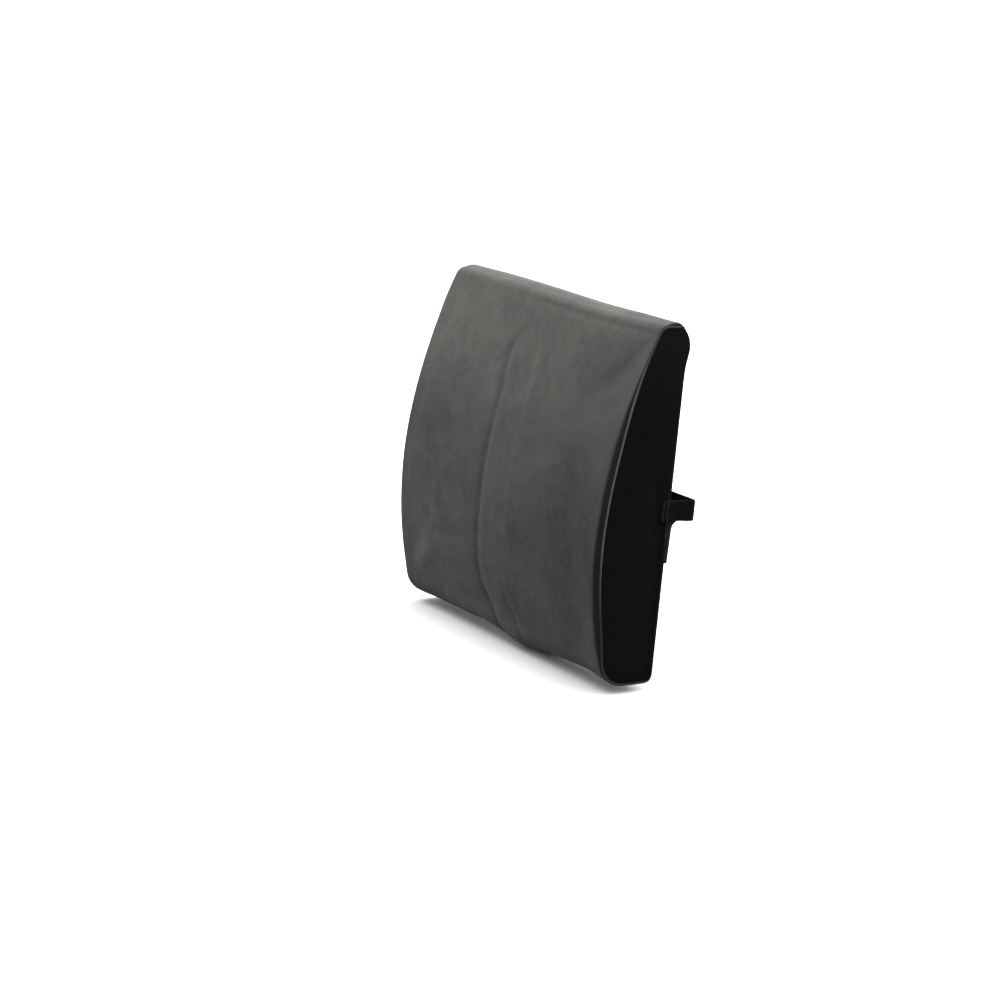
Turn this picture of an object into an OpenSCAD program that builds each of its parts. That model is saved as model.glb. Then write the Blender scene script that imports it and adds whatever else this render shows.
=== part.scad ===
// Lumbar support cushion: a contoured foam core in a zipped cover, held to a chair back
// by an elastic strap with a side-release buckle.
// +X is to the right when facing the front, -Y is the front, +Z is up.
// The origin is the centre of the flat back.

/* [Cushion] */
// Width from gusset to gusset
cushion_w = 330; // [300:5:380]
// Height
cushion_h = 340; // [300:5:380]
// Thickness at the top edge
top_depth = 30; // [26:1:40]
// Thickness at the bottom edge
bottom_depth = 55; // [45:1:70]
// Thickness at mid height, where the lumbar bulge is
middle_depth = 79; // [70:1:100]
// Width of the channel down the middle of the front, for the spine
channel_w = 40; // [30:2:60]
// Depth of that channel in the foam
channel_depth = 4; // [2:0.5:6]

/* [Cover] */
// Thickness of the cover fabric
fabric_t = 1.6; // [1.2:0.1:1.8]
// Thickness of the piping in the side seams
piping_d = 2; // [1.5:0.5:3]
// Height of the zip line above or below the centre
zip_z = -110; // [-120:5:-60]
// Length of the zip between its stops
zip_len = 280; // [240:10:290]

/* [Strap] */
// Width of the webbing
strap_w = 20; // [18:1:22]
// Thickness of the webbing
strap_t = 1.6; // [1.2:0.1:1.6]
// Height of the strap's centre line
strap_z = -5; // [-20:1:20]
// Gap for the chair back, from the back panel to the strap
chair_gap = 25; // [22:1:30]

/* [Hidden] */
$fn = 48;

gap = 0.1;               // clearance between neighbouring pieces
half_w = cushion_w / 2;
half_h = cushion_h / 2;

// Rounding of the section's corners
top_r = 14;
bottom_r = 20;
back_top_r = 12;
back_bottom_r = 7;
arc_step = 15;           // degrees between points on a corner
front_steps = 26;        // points up the front between the corners

// Cover, liner and foam, as insets from the outside of the cushion
liner_inset = fabric_t + 0.6;
liner_back = 4.8;        // leaves room for the zip slider behind the back panel
liner_t = 0.8;
foam_inset = liner_inset + liner_t + gap;
foam_back = liner_back + liner_t + gap;
panel_half_w = half_w - fabric_t - gap;

// Zip
zip_opening = 10;        // gap between the upper and lower back panels
tape_w = 12;
tape_t = 0.5;
tape_over = 6;           // how far the tapes go past each stop
tape_y = -2.3;
coil_t = 1.9;
coil_y = tape_y + tape_t + gap / 2;
tooth_w = 0.9;
tooth_pitch = 2;
tooth_reach = 0.8;       // how far a tooth crosses the middle line
coil_half = 2.2;
slider_len = 9;
slider_w = 8.6;
slider_x = zip_len / 2 - 6;
slider_low = -4.0;
slider_top = 1.9;
bridge_len = 6.4;
bridge_w = 1.8;
bridge_top = 4.4;
pull_pivot_y = 2.75;
pull_pin_r = 0.5;
pull_len = 24;
pull_w = 6;
pull_t = 0.9;

// Strap: where its centre line runs, seen from above
run_y = chair_gap + strap_t / 2;         // inner layer behind the chair
ply = strap_t + 0.2;                     // from one layer's middle to the next
arm_start = -11;                         // the end sewn to the gusset
arm_straight = 8;                        // up to here an arm lies along the gusset's plane
arm_end_y = chair_gap - 5;
arm_x = half_w + gap + strap_t / 2;
arm_splay = 4;                           // the arms lean outwards by this much
turn_r = 4;
bar_y = run_y + 1.9;                     // middle of the buckle
fold_r = 1.9;                            // webbing centre line round a buckle bar
bar_r = 1;
fold_top = 12;                           // length of the fold that clears the bars
fold_fall = 5;                           // and over this length it comes down to the strap
right_end_x = 62;                        // end of the right half's folded-back layer
tail_end_x = -104;                       // end of the left half's adjustable tail
stitch_r = 0.3;
stitch_lift = 0.4;                       // from a layer's surface to a stitch's middle
box_x0 = 44;                             // the box of stitches
box_x1 = 59;
tab_reach = 13;                          // the tab's depth where it meets the arm
tab_fillet = 8.5;
tab_toe = 3.5;                           // and at its lower end
tab_drop = 41;                           // below the strap's lower edge

// Buckle, along X
female_front = -8;
female_back = 18;
female_bar_x = 25.5;
male_back = -14;
male_bar_x = -20.5;
male_end_bar_x = -30.5;
buckle_half_z = 13.5;
cavity_half_z = 10.6;
housing_half_y = 3.5;
cavity_half_y = 2.3;
window_x0 = 3;
window_x1 = 11.4;
prong_pivot_x = -9.6;
prong_pivot_z = 7.4;
prong_r = 1.5;
prong_half_y = 1.9;
keeper_x = -76;
keeper_w = 8;
keeper_wall = 1.4;
male_half_z = 12.8;      // half width of the male part's frame
male_cheek_z = 10.4;     // and inside its rails
// Outline of the upper prong in X-Z from its pivot: inner side, tip, barb and outer side
prong_outline = [[0.6, 6.4], [20, 7.6], [22, 8.6], [20.8, 11], [19.4, 12.7],
                 [13.2, 13.0], [13, 9.6], [0.6, 8.4]];

// ---- Curves of the cushion's section -------------------------------------------------

// Distance from the back plane to the front surface at height z
function front_depth(z) =
    let (u = min(1, max(0, (z + half_h) / cushion_h)), v = pow(u, 0.94))
    bottom_depth + (top_depth - bottom_depth) * u
    + (middle_depth - (bottom_depth + top_depth) / 2) * 4 * v * (1 - v);

// How far a corner of radius r pulls in at height z, for a section of half height half
function corner(z, half, r) =
    let (d = abs(z) - (half - r))
    d <= 0 ? 0 : r - sqrt(max(0, r * r - d * d));

// Points up the front from the bottom to the top, for a section inset by t
function front_path(t) =
    let (
        half = half_h - t,
        low_r = max(1, bottom_r - t),
        high_r = max(1, top_r - t),
        low = [for (a = [0 : arc_step : 75]) -half + low_r * (1 - cos(a))],
        mid = [for (i = [0 : front_steps])
            -half + low_r + (2 * half - low_r - high_r) * i / front_steps],
        high = [for (a = [75 : -arc_step : 0]) half - high_r * (1 - cos(a))]
    )
    [for (z = concat(low, mid, high))
        [-(front_depth(z) - t) + corner(z, half, z > 0 ? high_r : low_r), z]];

// Points down the back from the top to the bottom, with the back plane inset by t_back
function back_path(t, t_back) =
    let (
        half = half_h - t,
        high_r = max(1, back_top_r - t),
        low_r = max(1, back_bottom_r - t),
        high = [for (a = [0 : arc_step : 90]) half - high_r * (1 - cos(a))],
        low = [for (a = [90 : -arc_step : 0]) -half + low_r * (1 - cos(a))]
    )
    [for (z = concat(high, low)) [-t_back - corner(z, half, z > 0 ? high_r : low_r), z]];

// The whole section, inset by t, in the Y-Z plane
function section(t, t_back) = concat(front_path(t), back_path(t, t_back));

// Extrudes a Y-Z section along X, centred on x
module along_x(x, w) {
    translate([x - w / 2, 0, 0])
        rotate([90, 0, 90])
            linear_extrude(w)
                children();
}

// ---- Strips that follow a line --------------------------------------------------------

function unit(v) = v / norm(v);
function side_of(path, i) =
    let (
        last = len(path) - 1,
        a = path[max(0, i - 1)],
        b = path[min(last, i + 1)],
        d = unit(b - a)
    )
    [-d[1], d[0]];

// The outline between two distances to the left of an open path
function strip(path, d0, d1) =
    let (last = len(path) - 1)
    concat(
        [for (i = [0 : last]) path[i] + side_of(path, i) * d0],
        [for (i = [last : -1 : 0]) path[i] + side_of(path, i) * d1]
    );

// Webbing along a path in X-Y
module band(path) {
    translate([0, 0, strap_z - strap_w / 2])
        linear_extrude(strap_w)
            polygon(strip(path, -strap_t / 2, strap_t / 2));
}

// Points on an arc from angle a0 to a1 about a centre
function arc(centre, r, a0, a1, n = 8) =
    [for (i = [0 : n]) centre + r * [cos(a0 + (a1 - a0) * i / n), sin(a0 + (a1 - a0) * i / n)]];

// ---- Cushion --------------------------------------------------------------------------

module foam_core() {
    wing_w = panel_half_w - 1 - channel_w / 2;
    rim = -foam_back - back_top_r;       // the channel is cut in front of this
    color("lightyellow") {
        for (side = [-1, 1])
            along_x(side * (channel_w + wing_w) / 2, wing_w)
                polygon(section(foam_inset, foam_back));
        along_x(0, channel_w + 2 * gap)
            polygon([for (p = section(foam_inset, foam_back))
                p[0] < rim ? p + [channel_depth, 0] : p]);
    }
}

module inner_liner() {
    w = 2 * panel_half_w - 2 * gap;
    color("white")
        difference() {
            along_x(0, w) polygon(section(liner_inset, liner_back));
            along_x(0, w - 2 * liner_t) polygon(section(liner_inset + liner_t, liner_back + liner_t));
        }
}

module front_panel() {
    color("dimgray")
        along_x(0, 2 * panel_half_w)
            difference() {
                polygon(section(0, 0));
                polygon(section(fabric_t, fabric_t));
                translate([-fabric_t - gap, -half_h + back_bottom_r])
                    square([2 * fabric_t, cushion_h - back_top_r - back_bottom_r]);
            }
}

module gusset(side) {
    color("black")
        along_x(side * (half_w - fabric_t / 2), fabric_t)
            polygon(section(0, 0));
}

// A flat part of the back between two heights
module back_panel(z0, z1) {
    color("black")
        translate([-panel_half_w, -fabric_t, z0])
            cube([2 * panel_half_w, fabric_t, z1 - z0]);
}

// Half way round the back's corner at the height end_z, on a radius r
function half_back_corner(end_z, r) =
    [for (a = end_z > 0 ? [0 : arc_step : 45] : [45 : -arc_step : 0])
        [-r + r * sin(a), end_z - sign(end_z) * r * (1 - cos(a))]];

// A cord along the seam round the gusset, from one back corner over the front to the other
module piping(side) {
    seam = concat(
        half_back_corner(-half_h, back_bottom_r), front_path(0), half_back_corner(half_h, back_top_r));
    color("dimgray")
        along_x(side * (half_w - piping_d / 2), piping_d)
            polygon(strip(seam, gap, gap + piping_d));
}

// ---- Zip ------------------------------------------------------------------------------

// One woven tape, above (side 1) or below (side -1) the zip line
module zip_tape(side) {
    edge = 1.2;
    color("black")
        translate([-zip_len / 2 - tape_over, tape_y, zip_z + (side > 0 ? edge : -edge - tape_w)])
            cube([zip_len + 2 * tape_over, tape_t, tape_w]);
}

// A row of teeth on one side, whose gaps hold the teeth of the other
module zip_coil(side) {
    shift = side > 0 ? 0 : tooth_pitch / 2;
    count = floor(zip_len / tooth_pitch) - 1;
    color("dimgray")
        translate([-zip_len / 2 + shift, coil_y + coil_t, zip_z])
            rotate([90, 0, 0])
                linear_extrude(coil_t)
                    scale_side(side)
                        polygon(concat(
                            [[0, coil_half]],
                            [for (i = [0 : count - 1]) each [
                                [i * tooth_pitch, tooth_reach + 0.3],
                                [i * tooth_pitch, -tooth_reach],
                                [i * tooth_pitch + tooth_w, -tooth_reach],
                                [i * tooth_pitch + tooth_w, tooth_reach + 0.3]]],
                            [[(count - 1) * tooth_pitch + tooth_w, coil_half]]
                        ));
}

// Leaves its children as drawn for side 1, and turns them upside down for side -1
module scale_side(side) {
    if (side > 0) children();
    else mirror([0, 1]) children();
}

module zip_stops() {
    color("gray")
        for (side = [-1, 1])
            translate([side * (zip_len / 2 + 2) - 1.5, coil_y, zip_z - coil_half])
                cube([3, coil_t, 2 * coil_half]);
}

module zip_slider() {
    inside_half = coil_half + 0.4;
    color("darkgray")
        translate([slider_x, 0, zip_z]) {
            difference() {
                translate([-slider_len / 2, slider_low, -slider_w / 2])
                    cube([slider_len, slider_top - slider_low, slider_w]);
                translate([-slider_len, tape_y - 0.4, -inside_half])
                    cube([2 * slider_len, coil_y + coil_t + 0.3 - (tape_y - 0.4), 2 * inside_half]);
                translate([-slider_len, tape_y - 0.4, -slider_w])
                    cube([2 * slider_len, tape_t + 0.9, 2 * slider_w]);
            }
            difference() {
                translate([-bridge_len / 2, slider_top - gap, -bridge_w / 2])
                    cube([bridge_len, bridge_top - slider_top + gap, bridge_w]);
                translate([-bridge_len / 2 + 1.1, slider_top, -bridge_w])
                    cube([bridge_len - 2.2, 1.6, 2 * bridge_w]);
            }
        }
}

module zip_pull() {
    arm_w = 1.6;
    window = bridge_len / 2 + 3;
    color("darkgray")
        translate([slider_x, pull_pivot_y, zip_z]) {
            translate([0, 0, -pull_w / 2]) cylinder(h = pull_w, r = pull_pin_r);
            for (side = [-1, 1])
                translate([-window, -pull_t / 2, side * (pull_w - arm_w) / 2 - arm_w / 2])
                    cube([window, pull_t, arm_w]);
            difference() {
                translate([-pull_len, -pull_t / 2, -pull_w / 2])
                    cube([pull_len - window + 0.5, pull_t, pull_w]);
                translate([-pull_len + 4, pull_t, 0])
                    rotate([90, 0, 0]) cylinder(h = 2 * pull_t, r = 1.4);
            }
        }
}

// ---- Strap ----------------------------------------------------------------------------

// Reinforcing tab in the back seam, with a fillet up to the strap's lower edge
module strap_tab(side) {
    top = strap_z + strap_w / 2 - gap;
    under = strap_z - strap_w / 2;
    color("black")
        along_x(side * (half_w - 0.9), strap_t)
            polygon(concat(
                [[gap, under - tab_drop], [tab_toe, under - tab_drop]],
                [for (a = [180 : -15 : 90])
                    [tab_reach + tab_fillet * cos(a), under - tab_fillet + tab_fillet * sin(a)]],
                [[tab_reach, top], [gap, top]]
            ));
}

// One stitch: a short thread lying on a face whose normal is along X
module stitch_x(x, y, z, len, tilt) {
    translate([x, y, z]) rotate([tilt, 0, 0]) translate([0, 0, -len / 2])
        cylinder(h = len, r = stitch_r);
}

// Bartacks through each arm where it is sewn to the gusset
module strap_bartacks() {
    rows = [-9.5, -4.5];
    color("dimgray")
        for (side = [-1, 1], y = rows, i = [0 : 6])
            stitch_x(side * (arm_x + strap_t / 2 + stitch_lift), y, strap_z - 8.1 + i * 2.7, 2.5, 25);
}

// The straight part of an arm, from the gusset back towards the turn
function arm_line(side) = [
    [side * arm_x, arm_start],
    [side * arm_x, arm_straight],
    [side * (arm_x + arm_splay), arm_end_y]
];

// The corner where an arm turns to run behind the chair
function turn_line(side) =
    let (x = arm_x + arm_splay + 0.1, c = [x - turn_r, run_y - turn_r])
    [for (p = arc(c, turn_r, 0, 90)) [side * p[0], p[1]]];

// Webbing folded round a bar at x, and brought back beyond it to x_end
function fold_line(x, side, x_end) =
    let (c = [x, bar_y])
    concat(
        [for (p = arc([0, 0], fold_r, -90, -270, 12)) c + [p[0] * side, p[1]]],
        [[x + side * fold_top, bar_y + fold_r],
         [x + side * (fold_top + fold_fall), run_y + ply],
         [x_end, run_y + ply]]
    );

module strap_right() {
    color("black")
        band(concat(arm_line(1), turn_line(1), fold_line(female_bar_x, 1, right_end_x)));
}

module strap_left_arm() {
    color("black") band(arm_line(-1));
}

module strap_left() {
    color("black")
        band(concat(turn_line(-1), fold_line(male_bar_x, -1, tail_end_x)));
}

// A box of stitches on the outer layer, between x0 and x1
module box_stitches(x0, x1) {
    y = run_y + ply + strap_t / 2 + stitch_lift;
    half = strap_w / 2 - 2.5;
    n = 6;
    dx = (x1 - x0) / n;
    dz = 2 * half / n;
    tilt = atan2(x1 - x0, 2 * half);
    len = norm([x1 - x0, 2 * half]) / n;
    for (i = [0 : n - 1]) {
        x = x0 + (i + 0.5) * dx;
        z = -half + (i + 0.5) * dz;
        for (side = [-1, 1]) {
            translate([x, y, strap_z + side * (half + 0.8)])
                rotate([0, 90, 0]) cylinder(h = 0.8 * dx, r = stitch_r, center = true);
            translate([side > 0 ? x1 + 0.8 : x0 - 0.8, y, strap_z + z])
                cylinder(h = 0.8 * dz, r = stitch_r, center = true);
        }
        translate([x, y, strap_z + z])
            rotate([0, tilt, 0]) cylinder(h = 0.7 * len, r = stitch_r, center = true);
    }
}

module strap_right_stitching() {
    color("dimgray") box_stitches(box_x0, box_x1);
}

// Two rows of stitches across the tail's folded end
module strap_hem_stitching() {
    y = run_y + ply + strap_t / 2 + stitch_lift;
    color("dimgray")
        for (x = [-101.5, -98], i = [0 : 5])
            translate([x, y, strap_z - 7.5 + i * 3])
                cylinder(h = 2.2, r = stitch_r, center = true);
}

// A loop that keeps the strap's tail against the strap
module strap_keeper() {
    low = run_y - strap_t / 2 - 0.3;
    high = run_y + ply + strap_t / 2 + 0.3;
    half = strap_w / 2 + 0.5;
    color([0.08, 0.08, 0.08])
        translate([keeper_x - keeper_w / 2, 0, strap_z])
            difference() {
                translate([0, low - keeper_wall, -half - keeper_wall])
                    cube([keeper_w, high - low + 2 * keeper_wall, 2 * (half + keeper_wall)]);
                translate([-1, low, -half])
                    cube([keeper_w + 2, high - low, 2 * half]);
            }
}

// ---- Buckle ---------------------------------------------------------------------------

// A block centred in Z on the strap and in Y on the buckle
module buckle_block(x0, x1, half_y, half_z) {
    translate([x0, bar_y - half_y, strap_z - half_z])
        cube([x1 - x0, 2 * half_y, 2 * half_z]);
}

// A rail of the buckle's frame, on both sides of the webbing
module buckle_rails(x0, x1, z0, z1, half_y) {
    for (side = [-1, 1])
        translate([x0, bar_y - half_y, strap_z + (side > 0 ? z0 : -z1)])
            cube([x1 - x0, 2 * half_y, z1 - z0]);
}

// A round bar that webbing goes round
module buckle_bar(x, half_z) {
    translate([x, bar_y, strap_z - half_z]) cylinder(h = 2 * half_z, r = bar_r);
}

// An outline with rounded corners in X-Z, as thick as the housing
module rounded_block(x0, x1, half_y, half_z, r) {
    corners = [[x1 - r, half_z - r, 0], [x0 + r, half_z - r, 90],
               [x0 + r, -half_z + r, 180], [x1 - r, -half_z + r, 270]];
    translate([0, bar_y + half_y, strap_z])
        rotate([90, 0, 0])
            linear_extrude(2 * half_y)
                polygon([for (c = corners, a = [0 : 15 : 90])
                    [c[0] + r * cos(c[2] + a), c[1] + r * sin(c[2] + a)]]);
}

module buckle_female() {
    rail_half_y = 1.7;
    color([0.08, 0.08, 0.08])
        difference() {
            union() {
                rounded_block(female_front, female_back, housing_half_y, buckle_half_z, 2.5);
                buckle_rails(female_back - 2, female_bar_x + 1.6, cavity_half_z, buckle_half_z, rail_half_y);
                buckle_bar(female_bar_x, buckle_half_z);
            }
            buckle_block(female_front - 1, female_back - 3, cavity_half_y, cavity_half_z);
            buckle_block(window_x0, window_x1, cavity_half_y, buckle_half_z + 1);
        }
}

module buckle_male() {
    rail_half_y = 1.7;
    tongue_half_z = 1.8;
    color([0.08, 0.08, 0.08])
        difference() {
            union() {
                rounded_block(male_back, female_front - 0.4, 3.2, 12, 1.5);
                buckle_rails(male_end_bar_x - 1.6, male_back + 1, male_cheek_z, male_half_z, rail_half_y);
                buckle_bar(male_bar_x, male_half_z);
                buckle_bar(male_end_bar_x, male_half_z);
                buckle_block(female_front - 1, female_back - 5, 1.4, tongue_half_z);
            }
            for (side = [-1, 1])
                translate([prong_pivot_x, bar_y - prong_half_y - gap, strap_z + side * prong_pivot_z])
                    rotate([-90, 0, 0]) {
                        cylinder(h = 2 * (prong_half_y + gap), r = prong_r + gap / 2);
                        translate([0, -2.6, 0]) cube([4, 5.2, 2 * (prong_half_y + gap)]);
                    }
        }
}

// A springy prong with a barb that fills the housing's side window
module prong(side) {
    color([0.08, 0.08, 0.08])
        translate([prong_pivot_x, bar_y + prong_half_y, strap_z])
            rotate([90, 0, 0]) {
                translate([0, side * prong_pivot_z, 0]) cylinder(h = 2 * prong_half_y, r = prong_r);
                linear_extrude(2 * prong_half_y)
                    scale_side(side)
                        polygon(prong_outline);
            }
}

foam_core();
inner_liner();
front_panel();
gusset(-1);  // gusset_left
gusset(1);  // gusset_right
back_panel(zip_z + zip_opening / 2, half_h - back_top_r - gap);  // back_panel_upper
back_panel(-half_h + back_bottom_r + gap, zip_z - zip_opening / 2);  // back_panel_lower
piping(-1);  // piping_left
piping(1);  // piping_right
zip_tape(1);  // zip_tape_upper
zip_tape(-1);  // zip_tape_lower
zip_coil(1);  // zip_coil_upper
zip_coil(-1);  // zip_coil_lower
zip_stops();
zip_slider();
zip_pull();
strap_tab(-1);  // strap_tab_left
strap_tab(1);  // strap_tab_right
strap_bartacks();
strap_right();
strap_right_stitching();
buckle_female();
strap_left_arm();
strap_left();
strap_hem_stitching();
strap_keeper();
buckle_male();
prong(1);  // prong_upper
prong(-1);  // prong_lower
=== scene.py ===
"""Looks of a lumbar support cushion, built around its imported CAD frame.

Units are metres: +X is to the right when facing the front, -Y is the front, +Z is up.
"""

import math

import bmesh
import bpy
import numpy as np
from mathutils import Matrix, Vector, noise


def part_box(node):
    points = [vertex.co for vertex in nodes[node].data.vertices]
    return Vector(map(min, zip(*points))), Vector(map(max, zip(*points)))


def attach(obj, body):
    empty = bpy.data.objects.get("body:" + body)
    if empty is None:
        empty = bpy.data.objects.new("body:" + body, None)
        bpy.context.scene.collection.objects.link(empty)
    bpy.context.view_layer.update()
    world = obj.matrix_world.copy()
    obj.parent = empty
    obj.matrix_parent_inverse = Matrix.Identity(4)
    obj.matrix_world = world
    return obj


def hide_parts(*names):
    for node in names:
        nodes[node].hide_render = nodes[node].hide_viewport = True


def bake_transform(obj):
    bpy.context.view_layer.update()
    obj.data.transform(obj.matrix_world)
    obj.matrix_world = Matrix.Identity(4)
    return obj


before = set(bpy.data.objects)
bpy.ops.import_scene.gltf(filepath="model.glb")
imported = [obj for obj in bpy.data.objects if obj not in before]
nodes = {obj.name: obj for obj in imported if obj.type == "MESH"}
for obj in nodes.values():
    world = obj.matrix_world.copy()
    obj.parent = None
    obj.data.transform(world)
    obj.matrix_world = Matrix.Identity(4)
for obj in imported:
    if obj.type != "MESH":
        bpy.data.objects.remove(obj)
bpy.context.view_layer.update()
scene = bpy.context.scene
MM = 0.001


# ---- Small helpers -------------------------------------------------------------------

def smoothstep(low, high, value):
    """0 below low, 1 above high, and smooth between them. Low may be above high."""
    t = np.clip((np.asarray(value, float) - low) / (high - low), 0, 1)
    return t * t * (3 - 2 * t)


def bump(value, width):
    """A smooth hill of height 1 at value 0, and near 0 beyond about twice the width."""
    return np.exp(-((np.asarray(value, float) / width) ** 2))


def add_mesh(name, points, faces, material, smooth=True):
    """A new mesh object in the scene."""
    faces = [tuple(f) for f in faces]
    mesh = bpy.data.meshes.new(name)
    mesh.from_pydata([tuple(p) for p in points], [], faces)
    mesh.validate()
    mesh.polygons.foreach_set("use_smooth", [smooth] * len(mesh.polygons))
    obj = bpy.data.objects.new(name, mesh)
    scene.collection.objects.link(obj)
    mesh.materials.append(material)
    return obj


def apply_modifiers(obj):
    """Replaces the mesh by what its modifiers make of it."""
    bpy.context.view_layer.update()
    graph = bpy.context.evaluated_depsgraph_get()
    mesh = bpy.data.meshes.new_from_object(obj.evaluated_get(graph))
    obj.modifiers.clear()
    obj.data = mesh
    return obj


def coordinates(mesh):
    """A mesh's vertices as an array of points."""
    co = np.zeros(len(mesh.vertices) * 3)
    mesh.vertices.foreach_get("co", co)
    return co.reshape(-1, 3)


def normals(obj):
    """The mesh's vertex normals as an array of directions."""
    obj.data.update()
    return np.array([n.vector[:] for n in obj.data.vertex_normals], float)


def set_coordinates(obj, co):
    obj.data.vertices.foreach_set("co", np.asarray(co, np.float32).ravel())
    obj.data.update()


def stand_in(piece, node, body="cushion"):
    """Shows the piece in place of a CAD node, and attaches it to the body if one is given."""
    if body:
        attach(piece, body)
    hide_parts(node)


def distances(points):
    """How far along a line through points each of them is."""
    return np.concatenate([[0], np.cumsum(np.linalg.norm(np.diff(points, axis=0), axis=1))])


def walk(points, count):
    """`count` points at even steps along a line through points, in a plane or in space."""
    points = np.asarray(points, float)
    along = distances(points)
    at = np.linspace(0, along[-1], count)
    return np.stack([np.interp(at, along, column) for column in points.T], axis=1)


def walk_by(points, step):
    """Points at even steps of about `step` along a line through points."""
    return walk(points, max(2, int(round(distances(points)[-1] / step)) + 1))


# ---- Materials -----------------------------------------------------------------------

NODE_SETTINGS = ("operation", "data_type", "feature", "bands_direction", "wave_profile")


class Nodes:
    """A node tree, with short ways to add and join its nodes."""

    def __init__(self, tree):
        self.tree = tree

    def add(self, kind, **values):
        """A node, with its inputs set by name, or joined where the value is a socket."""
        node = self.tree.nodes.new(kind)
        for key, value in values.items():
            if key in NODE_SETTINGS:
                setattr(node, key, value)
                continue
            numbered = key[0] == "i" and key[1:].isdigit()
            self.set(node.inputs[int(key[1:]) if numbered else key.replace("_", " ")], value)
        return node

    def set(self, socket, value):
        if isinstance(value, bpy.types.NodeSocket):
            self.tree.links.new(value, socket)
        else:
            socket.default_value = value

    def math(self, operation, a, b=0.0):
        return self.add("ShaderNodeMath", operation=operation, i0=a, i1=b).outputs[0]

    def product(self, a, b):
        return self.math("MULTIPLY", a, b)

    def remap(self, value, low, high, new_low=0.0, new_high=1.0):
        """Carries low..high over to new_low..new_high, and holds the ends beyond them."""
        return self.add("ShaderNodeMapRange", Value=value, From_Min=low, From_Max=high, To_Min=new_low,
                        To_Max=new_high).outputs["Result"]

    def mix(self, factor, one, other):
        """A colour between two colours."""
        one, other = (c if isinstance(c, bpy.types.NodeSocket) else (*c, 1) for c in (one, other))
        return self.add("ShaderNodeMix", data_type="RGBA", i0=factor, i6=one, i7=other).outputs[2]


class Shader(Nodes):
    """A material's node tree."""

    def __init__(self, name, **inputs):
        self.material = bpy.data.materials.new(name)
        self.material.use_nodes = True
        super().__init__(self.material.node_tree)
        self.bsdf = self.tree.nodes["Principled BSDF"]
        for key, value in inputs.items():
            self.bsdf.inputs[key.replace("_", " ")].default_value = value
        self.where = self.tree.nodes.new("ShaderNodeTexCoord")

    def coords(self, scale=(1, 1, 1), source="Object"):
        """Object or UV coordinates, stretched by scale."""
        node = self.add("ShaderNodeMapping", Scale=scale, Vector=self.where.outputs[source])
        return node.outputs["Vector"]

    def noise(self, scale, detail=2.0, rough=0.5, stretch=(1, 1, 1), source="Object", distortion=0.0):
        """A noise texture with about `scale` features a metre, from 0 to 1."""
        node = self.add("ShaderNodeTexNoise", Vector=self.coords(stretch, source), Scale=scale,
                        Detail=detail, Roughness=rough, Distortion=distortion)
        return node.outputs["Fac"]

    def wave(self, scale, direction, source=None, **inputs):
        """Sine bands in one direction, from 0 to 1."""
        where = self.coords() if source is None else source
        return self.add("ShaderNodeTexWave", Vector=where, Scale=scale, bands_direction=direction,
                        wave_profile="SIN", **inputs).outputs["Fac"]

    def place(self, source="Object"):
        """The X, Y and Z of the place, or of another texture coordinate."""
        return self.add("ShaderNodeSeparateXYZ", Vector=self.where.outputs[source]).outputs

    def colour(self, socket):
        self.link(socket, "Base Color")

    def link(self, socket, name):
        self.tree.links.new(socket, self.bsdf.inputs[name])

    def relief(self, *layers):
        """Bump from (height socket, depth in metres) pairs, one on top of another."""
        normal = None
        for height, depth in layers:
            node = self.add("ShaderNodeBump", Height=height, Distance=depth, Strength=1.0)
            if normal is not None:
                self.tree.links.new(normal, node.inputs["Normal"])
            normal = node.outputs["Normal"]
        self.link(normal, "Normal")


def pile_fabric(name, shade, warm, patch_depth, sheen, turned=1.0, painted_light_by_place=None):
    """Short-pile fabric: the nap lies in patches that catch light differently, over a fine grain.
    `turned` is painted shade: its brightness, and its sheen, where it faces straight to either side.
    The function given last paints light and shade: a brightness that depends on the place."""
    s = Shader(name, Roughness=0.95, Specular_IOR_Level=0.12, Sheen_Weight=sheen, Sheen_Roughness=0.55,
               Sheen_Tint=(0.8, 0.79, 0.77, 1))
    patches = s.noise(11, detail=4, rough=0.62, stretch=(1, 1, 0.8), distortion=0.9)
    brushed = s.noise(58, detail=5, rough=0.7, stretch=(1, 1, 0.75), distortion=1.1)
    grain = s.noise(1500, detail=2, rough=0.6)
    clumps = s.noise(420, detail=3, rough=0.7, stretch=(1, 1, 0.7))
    nap = s.math("ADD", s.product(s.remap(patches, 0.3, 0.7), 0.5),
                 s.math("ADD", s.product(s.remap(brushed, 0.32, 0.68), 0.3), s.product(clumps, 0.2)))
    dark = tuple(c * (1 - patch_depth) for c in shade)
    light = tuple(c * (1 + patch_depth) * w for c, w in zip(shade, warm))
    speckled = s.mix(s.product(s.remap(grain, 0.35, 0.65), 0.3), s.mix(nap, dark, light), dark)
    # painted shade: where the fabric faces straight to either side, its colour goes to `turned` times its
    # plain shade
    sideways = s.remap(s.math("ABSOLUTE", s.place("Normal")["X"]), 0.35, 0.85)
    tone = s.mix(sideways, speckled, tuple(c * turned for c in shade))
    # painted light and shade: a brightness that depends on the place scales the colour
    if painted_light_by_place:
        tone = s.add("ShaderNodeVectorMath", operation="SCALE", i0=tone, Scale=painted_light_by_place(s)).outputs[0]
    s.colour(tone)
    # painted shade: the sheen also drops to `turned` where the fabric faces to either side
    seen = s.math("SUBTRACT", 1.0, s.product(sideways, 1 - turned))
    s.link(s.product(seen, s.remap(nap, 0, 1, sheen * 0.6, sheen * 1.3)), "Sheen Weight")
    s.relief((clumps, 0.00035), (grain, 0.00018))
    return s.material


RIB_PITCH = 1.3 * MM         # between the ribs across the webbing
YARN_PITCH = 0.8 * MM        # between the yarns along it


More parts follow.
